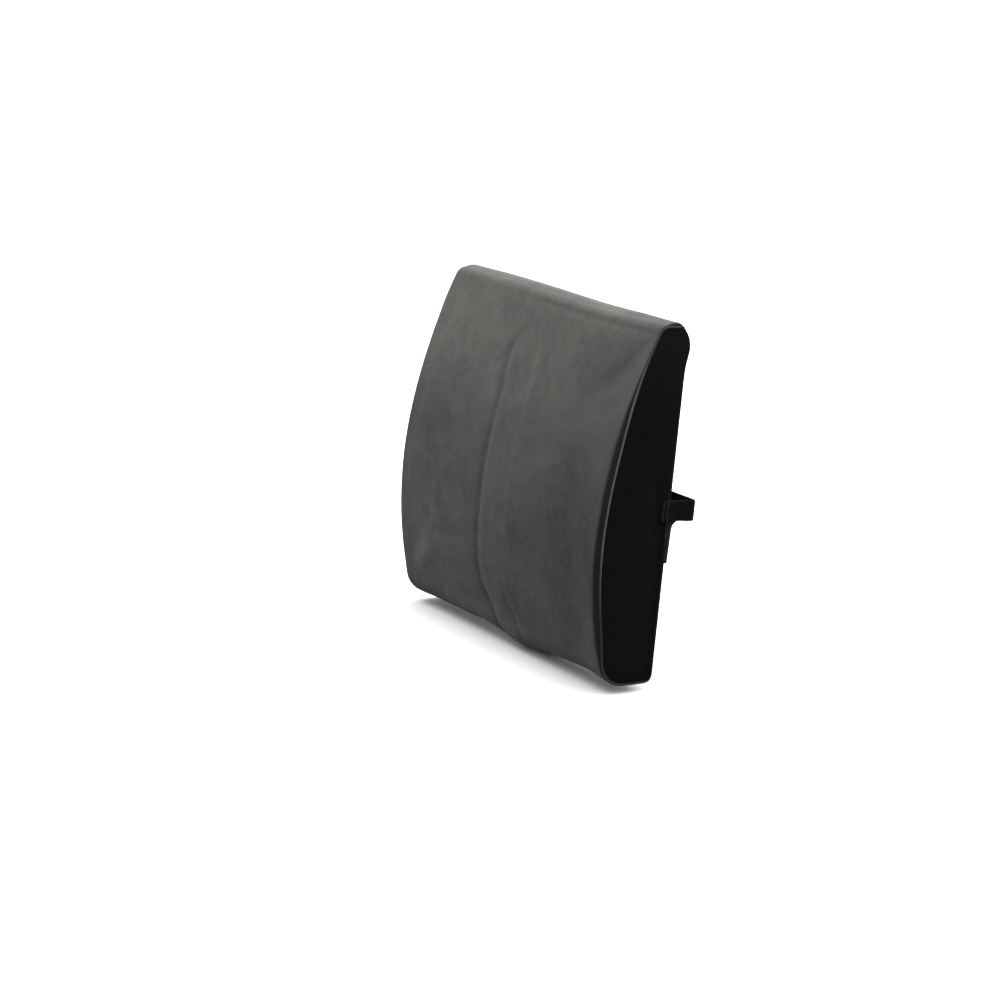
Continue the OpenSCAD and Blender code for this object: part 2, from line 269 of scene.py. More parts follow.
def woven_webbing():
    """Elastic webbing: ribs across it, with fine yarns along it. UVs are in metres."""
    s = Shader("woven_webbing", Roughness=0.88, Specular_IOR_Level=0.14, Sheen_Weight=0.03)
    uv = s.where.outputs["UV"]
    across = s.wave(2 / (RIB_PITCH * math.tau), "X", uv, Distortion=0.25, Detail=1.0)
    along = s.wave(2 / (YARN_PITCH * math.tau), "Y", uv, Distortion=0.2, Detail=1.0)
    fuzz = s.noise(2200, detail=2, source="UV")
    dust = s.noise(60, detail=4, rough=0.65, source="UV")
    weave = s.product(across, s.remap(along, 0, 1, 0.55, 1))
    s.colour(s.mix(s.product(weave, s.remap(dust, 0.3, 0.7, 0.6, 1)),
                   (0.0010, 0.0010, 0.0010), (0.0042, 0.0040, 0.0039)))
    s.relief((weave, 0.00022), (fuzz, 0.00008))
    return s.material


def twill_tape():
    """Woven polyester tape with a fine diagonal."""
    s = Shader("twill_tape", Roughness=0.8, Specular_IOR_Level=0.2, Sheen_Weight=0.1)
    diagonal = s.wave(520, "DIAGONAL", Distortion=0.3)
    s.colour(s.mix(diagonal, (0.003, 0.003, 0.003), (0.011, 0.0105, 0.010)))
    s.relief((diagonal, 0.00012), (s.noise(1800), 0.00005))
    return s.material


def moulded_plastic(name, shade, gloss):
    """Black moulded plastic with a fine spark-eroded texture, and edges rubbed a little lighter."""
    s = Shader(name, Roughness=gloss, Specular_IOR_Level=0.45)
    grain = s.noise(1400, detail=3, rough=0.6)
    handling = s.noise(90, detail=4, rough=0.6)
    edge = s.add("ShaderNodeNewGeometry").outputs["Pointiness"]
    rubbed = s.remap(edge, 0.5, 0.58)
    s.colour(s.mix(s.product(rubbed, 0.6), shade, tuple(3.2 * c for c in shade)))
    s.link(s.remap(handling, 0.3, 0.7, gloss - 0.09, gloss + 0.08), "Roughness")
    s.relief((grain, 0.00006))
    return s.material


def enamelled_metal():
    """Black enamel on a zinc casting, worn through in places on its edges."""
    s = Shader("enamelled_metal", Roughness=0.32, Specular_IOR_Level=0.5)
    edge = s.add("ShaderNodeNewGeometry").outputs["Pointiness"]
    scuffs = s.noise(700, detail=4, rough=0.7)
    worn = s.product(s.remap(edge, 0.55, 0.66, 0, 0.3), s.remap(scuffs, 0.45, 0.68))
    s.colour(s.mix(worn, (0.012, 0.012, 0.013), (0.30, 0.29, 0.28)))
    s.link(worn, "Metallic")
    s.link(s.remap(s.noise(240, detail=3), 0.3, 0.7, 0.26, 0.42), "Roughness")
    s.relief((s.noise(900, detail=2), 0.00003))
    return s.material


def spun_thread():
    """Twisted polyester thread."""
    s = Shader("spun_thread", Roughness=0.6, Specular_IOR_Level=0.35, Sheen_Weight=0.2)
    twist = s.wave(900, "DIAGONAL")
    s.colour(s.mix(twist, (0.006, 0.006, 0.006), (0.024, 0.023, 0.022)))
    s.relief((twist, 0.00008))
    return s.material


def open_cell_foam():
    """Moulded polyurethane foam, full of small pores."""
    s = Shader("open_cell_foam", Roughness=0.95, Specular_IOR_Level=0.1)
    pores = s.add("ShaderNodeTexVoronoi", Vector=s.coords(), Scale=620, feature="F1").outputs["Distance"]
    skin = s.mix(s.noise(14, detail=4), (0.83, 0.76, 0.56), (0.90, 0.86, 0.70))
    s.colour(s.mix(s.remap(pores, 0.05, 0.5), (0.52, 0.45, 0.27), skin))
    s.relief((pores, 0.0004))
    return s.material


def knitted_liner():
    """Thin white jersey: columns of small loops."""
    s = Shader("knitted_liner", Roughness=0.9, Specular_IOR_Level=0.15)
    wale = s.wave(310, "X")
    course = s.wave(240, "Z")
    loops = s.product(wale, s.remap(course, 0, 1, 0.4, 1))
    s.colour(s.mix(loops, (0.62, 0.62, 0.60), (0.86, 0.86, 0.84)))
    s.relief((loops, 0.0003))
    return s.material


def front_painted_light(s):
    """Painted light and shade on the front: lighter high on the left, where the light falls, and darker
    through the middle and to the right.
    """
    across, up = s.place()["X"], s.place()["Z"]
    waist = s.product(s.remap(up, 0.090, 0.010), s.remap(up, -0.165, -0.110))
    high_left = s.product(s.remap(across, 0.030, -0.070),
                          s.product(s.remap(up, 0.030, 0.095), s.remap(up, 0.160, 0.120)))
    tone = s.math("ADD", s.math("SUBTRACT", 1.0, s.product(waist, 0.24)), s.product(high_left, 0.26))
    return s.math("SUBTRACT", tone, s.product(s.remap(across, 0.030, 0.110), 0.15))


def cord_painted_light(s):
    """Painted light on the cord: lighter over the lumbar bulge, where it catches the light, and darker
    towards both ends.
    """
    up = s.place()["Z"]
    return s.product(s.remap(up, -0.100, -0.030, 0.22, 1), s.remap(up, 0.090, 0.140, 1, 0.30))


def gusset_painted_top_light_dark_rear(s):
    """Painted light at the top of the sides, and the sides darker low along their rear edge."""
    back, up = s.place()["Y"], s.place()["Z"]
    rear = s.product(s.remap(back, -0.0115, -0.0075), s.remap(up, 0.010, -0.020))
    return s.product(s.remap(up, 0.085, 0.160, 1, 2.1), s.math("SUBTRACT", 1.0, s.product(rear, 0.75)))


# painted shade: turned=0.30 darkens the velour where it faces to either side, and its front gets painted
# light and shade
VELOUR = pile_fabric("charcoal_velour", (0.062, 0.0605, 0.0575), (1.03, 1.0, 0.97), 0.42, 0.30, turned=0.30,
                     painted_light_by_place=front_painted_light)
# painted highlight: the cord's colour is lighter than the velour it is made of, and painted light on it
# depends on the place
PIPING = pile_fabric("piping_velour", (0.105, 0.103, 0.098), (1.02, 1.0, 0.98), 0.25, 0.28, painted_light_by_place=cord_painted_light)
# painted light at the top of each gusset, which is also darker low along its rear edge
PLUSH = pile_fabric("black_plush", (0.0033, 0.0029, 0.0029), (1.0, 1.0, 1.0), 0.75, 0.014, painted_light_by_place=gusset_painted_top_light_dark_rear)
BACKING = pile_fabric("black_backing", (0.0085, 0.0082, 0.0084), (1.0, 1.0, 1.0), 0.35, 0.03)
WEBBING = woven_webbing()
TAPE = twill_tape()
ACETAL = moulded_plastic("black_acetal", (0.0065, 0.0065, 0.0068), 0.42)
NYLON = moulded_plastic("black_nylon", (0.010, 0.010, 0.010), 0.36)
ENAMEL = enamelled_metal()
THREAD = spun_thread()
FOAM = open_cell_foam()
LINER = knitted_liner()


# ---- The cushion's section, read from the frame --------------------------------------

FRONT_CELLS = 74             # up the front, between the corners
CAP_CELLS = 12               # across the section's top and bottom
WIDTH_CELLS = 66             # across the cushion
TOP_CORNER = 14 * MM         # size of the section's top front corner
TOP_CORNER_POWER = 3.6       # how square it is: 2 would be round
CORNER_REACH = 6 * MM        # how far in Z the section's top and bottom reach into its corners
BELOW_ZIP_CELLS, ZIP_CELLS = 12, 3
side_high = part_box("gusset_right")[1]
half_w = side_high.x
top_z = side_high.z
zip_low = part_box("back_panel_lower")[1].z
zip_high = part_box("back_panel_upper")[0].z
zip_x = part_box("zip_tape_upper")[1].x
zip_end = zip_x - 2 * MM
arm_low, arm_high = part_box("strap_left_arm")
strap_z = (arm_low.z + arm_high.z) / 2
strap_w = arm_high.z - arm_low.z


def section_outline():
    """The CAD section's front and back edges, each as points from the bottom to the top."""
    gusset = nodes["gusset_right"].data
    points = sorted({(round(v.co.z, 5), round(v.co.y, 5)) for v in gusset.vertices})
    at_top = [y for z, y in points if z > top_z - 1e-5]
    middle = (min(at_top) + max(at_top)) / 2
    front = [(y, z) for z, y in points if y < middle]
    back = [(y, z) for z, y in points if y > middle]
    return np.array(front), np.array(back)


def squared(front):
    """The front's top corner, squared up: the cover's edge there is tighter than the foam's."""
    low = top_z - TOP_CORNER
    centre = np.array([np.interp(low, front[:, 1], front[:, 0]) + TOP_CORNER, low])
    d = (front - centre) / TOP_CORNER
    inside = (d[:, 0] < 0) & (d[:, 1] > 0)
    size = np.sum(np.abs(d) ** TOP_CORNER_POWER, axis=1) ** (1 / TOP_CORNER_POWER)
    out = np.linalg.norm(d, axis=1) / np.maximum(size, 1e-9)
    return np.where(inside[:, None], centre + (front - centre) * np.maximum(out, 1)[:, None], front)


def section_curves():
    """Four curves round the section that meet at its corners: bottom, top, front and back.
    The bottom and top run from front to back, and the front and back from bottom to top."""
    front, back = section_outline()
    front = squared(front)

    def near(points, end):
        return np.abs(points[:, 1] - points[end, 1]) < CORNER_REACH

    low_f, high_f = near(front, 0), near(front, -1)
    low_b, high_b = near(back, 0), near(back, -1)
    bottom = np.vstack([front[low_f][::-1], back[low_b]])
    top = np.vstack([front[high_f], back[high_b][::-1]])
    front_mid = np.vstack([front[low_f][-1:], front[~(low_f | high_f)], front[high_f][:1]])
    back_mid = np.vstack([back[low_b][-1:], back[~(low_b | high_b)], back[high_b][:1]])
    flat = split_at_zip(back_mid)
    return (walk(bottom, CAP_CELLS + 1), walk(top, CAP_CELLS + 1), walk(front_mid, len(flat)), flat)


def split_at_zip(back_mid):
    """Points up the back, with rows exactly on the two edges of the zip opening."""
    levels = [back_mid[0, 1], zip_low, zip_high, back_mid[-1, 1]]
    cells = (BELOW_ZIP_CELLS, ZIP_CELLS, FRONT_CELLS - BELOW_ZIP_CELLS - ZIP_CELLS)
    heights = [np.linspace(a, b, n, endpoint=False) for a, b, n in zip(levels, levels[1:], cells)]
    heights = np.concatenate(heights + [[levels[-1]]])
    return np.stack([np.interp(heights, back_mid[:, 1], back_mid[:, 0]), heights], axis=1)


def fill_cap(bottom, top, front, back):
    """A grid over the section between its four curves, in rows that run from front to back."""
    rows = np.linspace(0, 1, len(front))[:, None, None]
    columns = np.linspace(0, 1, CAP_CELLS + 1)[None, :, None]
    across = front[:, None] * (1 - columns) + back[:, None] * columns
    up = bottom[None] * (1 - rows) + top[None] * rows
    corners = (bottom[0] * (1 - columns) + bottom[-1] * columns) * (1 - rows) \
        + (top[0] * (1 - columns) + top[-1] * columns) * rows
    return across + up - corners


class Builder:
    """Collects points and quads, with points that coincide shared."""

    def __init__(self):
        self.index, self.points, self.faces, self.regions = {}, [], [], []

    def point(self, p):
        key = tuple(round(float(c), 6) for c in p)
        if key not in self.index:
            self.index[key] = len(self.points)
            self.points.append(key)
        return self.index[key]

    def grid(self, rows, region, flip=False):
        """Quads over a grid of points, in rows."""
        ids = [[self.point(p) for p in row] for row in rows]
        for i in range(len(ids) - 1):
            for j in range(len(ids[0]) - 1):
                quad = [ids[i][j], ids[i][j + 1], ids[i + 1][j + 1], ids[i + 1][j]]
                self.faces.append(quad[::-1] if flip else quad)
                self.regions.append(region)


REGIONS = ("front", "left", "right", "back_lower", "zip_gap", "back_upper")
EDGE_WRAP = 1.4 * MM         # how far the front and back turn round onto the sides everywhere
FRONT_WRAP = 5.4 * MM        # and how much further the front does half way up
TOP_WRAP = 3.2 * MM          # and at the top
EDGE_RADIUS = 3.2 * MM


def loop_and_wrap():
    """The section as one closed loop of (y, z) points, its outward normals, and its wrap.
    It starts at the bottom of the front, and goes up the front, over the top and down the back."""
    bottom, top, front, back = section_curves()
    loop = np.vstack([front[:-1], top[:-1], back[::-1][:-1], bottom[::-1][:-1]])
    tangent = np.roll(loop, -1, axis=0) - np.roll(loop, 1, axis=0)
    tangent /= np.linalg.norm(tangent, axis=1, keepdims=True)
    normal = np.stack([-tangent[:, 1], tangent[:, 0]], axis=1)
    y, z = loop.T
    on_front = np.arange(len(loop)) < len(front) - 1
    up_front = smoothstep(146 * MM, 36 * MM, z) * smoothstep(-168 * MM, -112 * MM, z)
    over_top = bump(y + 15 * MM, 9 * MM) * (z > 150 * MM)
    wrap = EDGE_WRAP + FRONT_WRAP * up_front * on_front + TOP_WRAP * over_top
    return loop, normal, wrap, (len(top), len(front), len(back))


loop, outward, wrap, (n_top, n_front, n_back) = loop_and_wrap()
seam = loop - outward * wrap[:, None]         # the seam round a gusset, as a closed loop of (y, z) points
back_start = n_front + n_top - 2              # where the back begins and ends in the loop
back_end = back_start + n_back - 1


def width_profile(wrap):
    """Across the cushion: (x, drop) pairs. The drop is how far the fabric has turned down at its edge."""
    radius = min(EDGE_RADIUS, 0.6 * wrap)
    turned = [(0.0, wrap), (0.0, (wrap + radius) / 2)]
    turned += [(radius * (1 - math.cos(a)), radius * (1 - math.sin(a)))
               for a in (0, 0.4, 0.8, 1.2, math.pi / 2)]
    flat = [(d * MM, 0.0) for d in (6, 9.5, 14)]
    inner = np.linspace(-half_w + 19 * MM, half_w - 19 * MM, WIDTH_CELLS - 8)
    edge = turned + flat
    return ([(-half_w + d, drop) for d, drop in edge] + [(x, 0.0) for x in inner]
            + [(half_w - d, drop) for d, drop in edge[::-1]])


def closed_cushion():
    """One closed mesh of the whole cushion, and the region of each face."""
    builder = Builder()
    rows = [[(x, *(p - n * drop)) for x, drop in width_profile(w)] for p, n, w in zip(loop, outward, wrap)]
    rows.append(rows[0])
    builder.grid(rows[:back_start + 1], "front")
    builder.grid(rows[back_end:], "front")
    heights = [loop[i % len(loop)][1] for i in range(len(rows))]
    for i in range(back_start, back_end):
        middle = (heights[i] + heights[i + 1]) / 2
        if middle > zip_high:
            builder.grid(rows[i:i + 2], "back_upper")
        elif middle < zip_low:
            builder.grid(rows[i:i + 2], "back_lower")
        else:
            for j in range(len(rows[i]) - 1):
                inside = abs(rows[i][j][0] + rows[i][j + 1][0]) / 2 < zip_end
                cell = [row[j:j + 2] for row in rows[i:i + 2]]
                builder.grid(cell, "zip_gap" if inside else "back_lower")
    closed = np.vstack([seam, seam[:1]])
    cap = fill_cap(closed[back_end:][::-1], closed[n_front - 1:back_start + 1], closed[:n_front],
                   closed[back_start:back_end + 1][::-1])
    for x, name in ((half_w, "right"), (-half_w, "left")):
        builder.grid([[(x, y, z) for y, z in row] for row in cap], name, flip=name == "left")
    return builder


# ---- Cover: simulated as one closed fabric, then parted at its seams -----------------

SIM_FRAMES = 20
SMOOTHING_PASSES = 10
FRONT_CAP = 4.0 * MM         # how far the simulation may move the cover
END_CAP = 1.2 * MM           # and near its top and bottom
SIDE_CAP = 2.0 * MM
CLOTH = {"quality": 6, "mass": 0.35, "tension_stiffness": 22, "compression_stiffness": 22,
         "shear_stiffness": 8, "bending_stiffness": 4, "shrink_min": -0.002, "use_pressure": True,
         "uniform_pressure_force": 4}


def face_regions(shell):
    """The number in REGIONS of each of the shell's faces."""
    value = np.zeros(len(shell.data.polygons), int)
    shell.data.attributes["region"].data.foreach_get("value", value)
    return value


def simulate_cover(shell, rest):
    """Blows the cover up a little over the foam. Its seams and its flat back stay put."""
    group = shell.vertex_groups.new(name="held")
    touching = [set() for _ in rest]
    for face, region in zip(shell.data.polygons, face_regions(shell)):
        for v in face.vertices:
            touching[v].add(int(region))
    on_seam = np.array([len(t) > 1 for t in touching])
    held = on_seam | (rest[:, 1] > -0.5 * MM)
    for i in np.nonzero(held)[0]:
        group.add([int(i)], 1.0, "REPLACE")
    cloth = shell.modifiers.new("cloth", "CLOTH")
    cloth.settings.vertex_group_mass = "held"
    for key, value in CLOTH.items():
        setattr(cloth.settings, key, value)
    cloth.settings.effector_weights.gravity = 0
    cloth.collision_settings.use_collision = False
    cloth.point_cache.frame_start = 1
    cloth.point_cache.frame_end = SIM_FRAMES
    for f in range(1, SIM_FRAMES + 1):
        scene.frame_set(f)
    puffed = shell.evaluated_get(bpy.context.evaluated_depsgraph_get())
    moved = coordinates(puffed.to_mesh()) - rest
    puffed.to_mesh_clear()
    shell.modifiers.clear()
    shell.vertex_groups.clear()
    scene.frame_set(1)
    return even_out(shell, moved, held, SMOOTHING_PASSES)


def even_out(shell, moved, fixed, passes):
    """Averages each point's movement with its neighbours', so that only broad folds stay."""
    edges = np.array([e.vertices[:] for e in shell.data.edges])
    count = np.zeros(len(moved))
    np.add.at(count, edges.ravel(), 1)
    for _ in range(passes):
        total = np.zeros_like(moved)
        np.add.at(total, edges[:, 0], moved[edges[:, 1]])
        np.add.at(total, edges[:, 1], moved[edges[:, 0]])
        mean = total / count[:, None]
        moved = np.where(fixed[:, None], moved, 0.45 * moved + 0.55 * mean)
    return moved


def cover_shell():
    """The closed cover, puffed and subdivided once, with the region of each face."""
    builder = closed_cushion()
    shell = add_mesh("cover_shell", builder.points, builder.faces, VELOUR)
    region = shell.data.attributes.new("region", "INT", "FACE")
    region.data.foreach_set("value", [REGIONS.index(r) for r in builder.regions])
    rest = coordinates(shell.data)
    moved = simulate_cover(shell, rest)
    size = np.linalg.norm(moved, axis=1)
    ends = smoothstep(95 * MM, 160 * MM, np.abs(rest[:, 2]))
    cap = FRONT_CAP + (END_CAP - FRONT_CAP) * ends
    on_side = half_w - np.abs(rest[:, 0]) < 0.05 * MM
    from_seam = smoothstep(3 * MM, 48 * MM, half_w - np.abs(rest[:, 0]))
    cap = np.where(on_side, SIDE_CAP, cap * (0.12 + 0.88 * from_seam))
    share = cap / np.maximum(size, 1e-9) * np.tanh(size / cap)
    set_coordinates(shell, rest + moved * share[:, None])
    subdivide = shell.modifiers.new("subdivide", "SUBSURF")
    subdivide.levels = subdivide.render_levels = 1
    return apply_modifiers(shell)


CHANNEL_HALF = 20 * MM       # half the spine channel's width
CHANNEL_TOP = 132 * MM       # where its arched end is highest


def channel_centre(z):
    """The cover has crept to the right at the bottom, and a little to the left at the top."""
    return 17 * MM * smoothstep(-90 * MM, -165 * MM, z) - 9 * MM * smoothstep(60 * MM, 135 * MM, z)


def channel_shape(x, z):
    """How far the front is drawn in by the spine channel and the creases along it, in metres."""
    off = x - channel_centre(z)
    arch = CHANNEL_TOP - 9 * MM * (off / CHANNEL_HALF) ** 2
    below = smoothstep(arch + 3 * MM, arch - 12 * MM, z)
    floor = smoothstep(CHANNEL_HALF + 7 * MM, CHANNEL_HALF - 9 * MM, np.abs(off))
    left = bump(off + CHANNEL_HALF, 3.2 * MM) + 0.5 * bump(off + CHANNEL_HALF, 8 * MM)
    ends = smoothstep(30 * MM, 100 * MM, z) + smoothstep(-95 * MM, -140 * MM, z)
    right = bump(off - CHANNEL_HALF, 4.2 * MM) * (0.22 + 0.6 * ends)
    over = bump(z - arch, 5 * MM) * smoothstep(CHANNEL_HALF + 6 * MM, CHANNEL_HALF - 10 * MM, np.abs(off))
    return below * (0.5 * MM * floor + 1.1 * MM * left + 0.85 * MM * right) + 0.4 * MM * over


def creep(x, z, seed, size):
    """Gentle unevenness with features of about `size`."""
    return np.array([noise.noise(Vector((a / size + seed, seed * 1.7, b / size))) for a, b in zip(x, z)])


def dress_front(shell):
    """Spine channel, sagging lower edge, line under the top edge and slight wrinkles."""
    co, out = coordinates(shell.data), normals(shell)
    x, y, z = co.T
    facing = smoothstep(-14 * MM, -32 * MM, y)
    middle = smoothstep(1 * MM, 24 * MM, half_w - np.abs(x))
    uneven = 0.5 * MM * creep(x, z, 3.1, 55 * MM) + 0.2 * MM * creep(x, z, 7.7, 17 * MM)
    inward = (channel_shape(x, z) - uneven) * facing * middle
    # short slanting wrinkles low on the left
    slant = (x + 105 * MM) + 0.5 * (z + 70 * MM)
    wrinkle = bump(x + 108 * MM, 34 * MM) * bump(z + 60 * MM, 42 * MM)
    inward += 0.35 * MM * wrinkle * np.cos(slant / (7.5 * MM)) * facing
    # a shallow line under the top edge, right of the middle, where the panel turns over the foam
    line = bump(z - 158 * MM, 2.6 * MM) * smoothstep(-50 * MM, 0, x) * smoothstep(-12 * MM, -20 * MM, y)
    inward += 0.8 * MM * line * middle
    co -= out * inward[:, None]
    # the lower edge rises a little toward the right, and the channel's loose fabric hangs below it
    low = smoothstep(-128 * MM, -166 * MM, z) * smoothstep(-2 * MM, -14 * MM, y)
    arched = (1.0 * bump(x + 45 * MM, 18 * MM) + 2.4 * bump(x - 128 * MM, 34 * MM)) * middle
    co[:, 2] += low * (arched - 5.4 * bump(x - 22 * MM, 28 * MM)) * MM
    # and the top edge is a little crowned left of the middle
    high = smoothstep(140 * MM, 166 * MM, z) * middle
    co[:, 2] += high * (0.9 * bump(x + 75 * MM, 75 * MM) - bump(x - 60 * MM, 60 * MM)) * MM
    set_coordinates(shell, co)


def dress_sides(shell):
    """Slight hollows in the gussets, where the fabric lies against the foam."""
    co = coordinates(shell.data)
    x, y, z = co.T
    inside = smoothstep(4 * MM, 22 * MM, -y) * smoothstep(half_w - 3 * MM, half_w - 0.3 * MM, np.abs(x))
    dent = 0.5 * MM * creep(y, z, 5.3, 42 * MM) + 0.25 * MM * creep(y, z, 9.1, 15 * MM)
    co[:, 0] -= np.sign(x) * np.maximum(dent * inside, -0.3 * MM)
    # the strap holds the gusset flat where it is sewn on, and where it swings over it
    held = smoothstep(-26 * MM, -17 * MM, y) * smoothstep(34 * MM, 22 * MM, np.abs(z - strap_z))
    over = np.maximum(np.abs(co[:, 0]) - (half_w - 0.4 * MM), 0)
    co[:, 0] -= np.sign(x) * held * over
    # the top back corner is rounder at each side, and puffs back over the chair
    near_side = smoothstep(112 * MM, 150 * MM, np.abs(x))
    co[:, 1] += 3.2 * MM * near_side * bump(z - 146 * MM, 13 * MM) * smoothstep(-24 * MM, -3 * MM, y)
    co[:, 2] -= 4 * MM * near_side * bump(y + 2.5 * MM, 6 * MM) * smoothstep(146 * MM, 160 * MM, z)
    set_coordinates(shell, co)


def part_of(shell, name, region, material, node):
    """The shell's faces in one region, as fabric with a thickness in place of a CAD node."""
    co, used, faces = coordinates(shell.data), {}, []
    for i in np.nonzero(face_regions(shell) == REGIONS.index(region))[0]:
        faces.append([used.setdefault(v, len(used)) for v in shell.data.polygons[i].vertices])
    piece = add_mesh(name, [co[v] for v in used], faces, material)
    thick = piece.modifiers.new("thickness", "SOLIDIFY")
    thick.thickness = 1.4 * MM
    thick.offset = -1
    apply_modifiers(piece)
    stand_in(piece, node)
    return piece


shell = cover_shell()
dress_front(shell)
dress_sides(shell)
front_piece = part_of(shell, "velour_front", "front", VELOUR, "front_panel")
for side in ("left", "right"):
    part_of(shell, f"plush_gusset_{side}", side, PLUSH, f"gusset_{side}")
for word in ("upper", "lower"):
    part_of(shell, f"plush_back_{word}", f"back_{word}", BACKING, f"back_panel_{word}")


# ---- Foam and liner inside the cover --------------------------------------------------

def inner_layer(name, depth, node, material):
    """A closed layer `depth` inside the cover, and no further back than the CAD node that it shows."""
    co = coordinates(shell.data) - normals(shell) * depth
    co[:, 1] = np.minimum(co[:, 1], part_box(node)[1].y)
    stand_in(add_mesh(name, co, [p.vertices[:] for p in shell.data.polygons], material), node)


inner_layer("knit_liner", 2.4 * MM, "inner_liner", LINER)
inner_layer("foam_block", 3.8 * MM, "foam_core", FOAM)
bpy.data.objects.remove(shell)


# ---- Swept pieces: piping, webbing, tapes and thread ----------------------------------

def strips(rows, columns):
    """Quads over a grid of points that are numbered along each row."""
    return [(i * columns + j, i * columns + j + 1, (i + 1) * columns + j + 1, (i + 1) * columns + j)
            for i in range(rows - 1) for j in range(columns - 1)]


def tube(rings, count, base=0):
    """Faces of a closed tube through rings of `count` points each, with both ends shut."""
    sides = [(base + i * count + j, base + i * count + (j + 1) % count,
              base + (i + 1) * count + (j + 1) % count, base + (i + 1) * count + j)
             for i in range(rings - 1) for j in range(count)]
    last = base + (rings - 1) * count
    return sides + [tuple(range(base, base + count))[::-1], tuple(range(last, last + count))]


def sweep(name, path, ring, material, across):
    """A closed ring of (sideways, up) points carried along a path in space.
    `across` is the direction that stays the ring's second axis. `ring` may be a function of the
    distance along the path."""
    path = np.asarray(path, float)
    along = distances(path)
    tangent = np.gradient(path, axis=0)
    tangent /= np.linalg.norm(tangent, axis=1, keepdims=True)
    up = np.tile(np.asarray(across, float), (len(path), 1))
    up -= tangent * np.sum(up * tangent, axis=1, keepdims=True)
    up /= np.linalg.norm(up, axis=1, keepdims=True)
    sideways = np.cross(up, tangent)
    rings = [ring(a) if callable(ring) else ring for a in along]
    count = len(rings[0])
    points = [p + sideways[i] * s + up[i] * u for i, p in enumerate(path) for s, u in rings[i]]
    piece = add_mesh(name, points, tube(len(path), count), material)
    uv = piece.data.uv_layers.new(name="strip")
    for corner in piece.data.loops:
        i, j = divmod(corner.vertex_index, count)
        uv.data[corner.index].uv = (along[i], rings[i][j][1])
    return piece


def round_ring(radius, count):
    return [(radius * math.cos(math.tau * i / count), radius * math.sin(math.tau * i / count))
            for i in range(count)]


def webbing_ring(width, thickness, rib_pitch, rib_depth):
    """A flat ring with ribs along the strap, and a smooth rounded selvage on both edges."""
    half_width, half_t = width / 2, thickness / 2
    ribbed = [half_width * f for f in (-0.72, -0.4, 0.0, 0.4, 0.72)]
    nose = [(half_t * 0.62, half_width * 0.985), (0, half_width), (-half_t * 0.62, half_width * 0.985)]
    heel = [(-s, -u) for s, u in nose]

    def ring(along):
        rib = rib_depth * math.cos(math.tau * along / rib_pitch)
        selvage = half_t + 0.3 * rib_depth
        face = [(selvage, -0.9 * half_width)] + [(half_t + rib, u) for u in ribbed]
        face.append((selvage, 0.9 * half_width))
        return face + nose + [(-s, u) for s, u in face[::-1]] + heel

    return ring


def soften(path, passes):
    """Rounds a path's corners a little, and keeps its ends."""
    path = path.copy()
    for _ in range(passes):
        path[1:-1] = 0.25 * path[:-2] + 0.5 * path[1:-1] + 0.25 * path[2:]
    return path


def piping(side, word):
    """A cord in the seam round a gusset, from the bottom back corner over the front to the top one."""
    corded = np.vstack([seam[back_end:], seam[:back_start + 1]])
    path = walk_by([(side * (half_w + 0.15 * MM), y, z) for y, z in corded], 2 * MM)
    path = soften(path, 3)
    total = distances(path)[-1]

    def ring(along):
        from_end = min(along, total - along)
        return round_ring(CORD_RADIUS * (0.25 + 0.75 * smoothstep(0, 12 * MM, from_end)), 12)

    cord = sweep(f"piping_cord_{word}", path, ring, PIPING, across=(1, 0, 0))
    stand_in(cord, f"piping_{word}")


CORD_RADIUS = 0.95 * MM
for side, word in ((-1, "left"), (1, "right")):
    piping(side, word)


# ---- Webbing strap --------------------------------------------------------------------

STRAP_T = 1.6 * MM           # the CAD webbing's thickness
BEND_START, BEND_END = -6 * MM, 2 * MM        # in Y, where an arm twists as the strap swings


def centre_line(node):
    """The webbing's middle line in plan, read from the edge of the CAD solid's upper face."""
    bm = bmesh.new()
    bm.from_mesh(nodes[node].data)
    bmesh.ops.remove_doubles(bm, verts=bm.verts, dist=1e-6)
    high = max(v.co.z for v in bm.verts)
    top = {f for f in bm.faces if min(v.co.z for v in f.verts) > high - 1e-6}
    rim = [e for e in bm.edges if sum(f in top for f in e.link_faces) == 1]
    after = {}
    for e in rim:
        a, b = e.verts
        after.setdefault(a, []).append(b)
        after.setdefault(b, []).append(a)
    start = rim[0].verts[0]
    around, last, here = [start], None, start
    while (step := next(v for v in after[here] if v is not last)) is not start:
        around.append(step)
        last, here = here, step
    outline = np.array([v.co[:] for v in around])
    bm.free()
    count = len(outline)

    def pairs(k):
        """Points across the webbing from each other, if its end lies before point k."""
        return np.array([(outline[(k + i) % count], outline[(k - 1 - i) % count]) for i in range(count // 2)])

    def unevenness(k):
        gaps = np.linalg.norm(np.diff(pairs(k), axis=1)[:, 0], axis=1)
        return float(np.max(np.abs(gaps - STRAP_T)))

    best = min(range(count), key=unevenness)
    line = pairs(best).mean(axis=1)
    line[:, 2] = strap_z
    return line if line[0, 1] < line[-1, 1] or abs(line[0, 0]) > abs(line[-1, 0]) else line[::-1]


def strap_piece(name, line, node):
    """Webbing along a line, in place of a CAD node, left without a body and with its placement baked into its
    mesh.
    """
    path = soften(walk_by(line, RIB_PITCH / 4), 6)
    ring = webbing_ring(strap_w - 0.3 * MM, STRAP_T - 0.16 * MM, RIB_PITCH, 0.06 * MM)
    piece = sweep(name, path, ring, WEBBING, across=(0, 0, 1))
    stand_in(piece, node, body=None)
    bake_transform(piece)


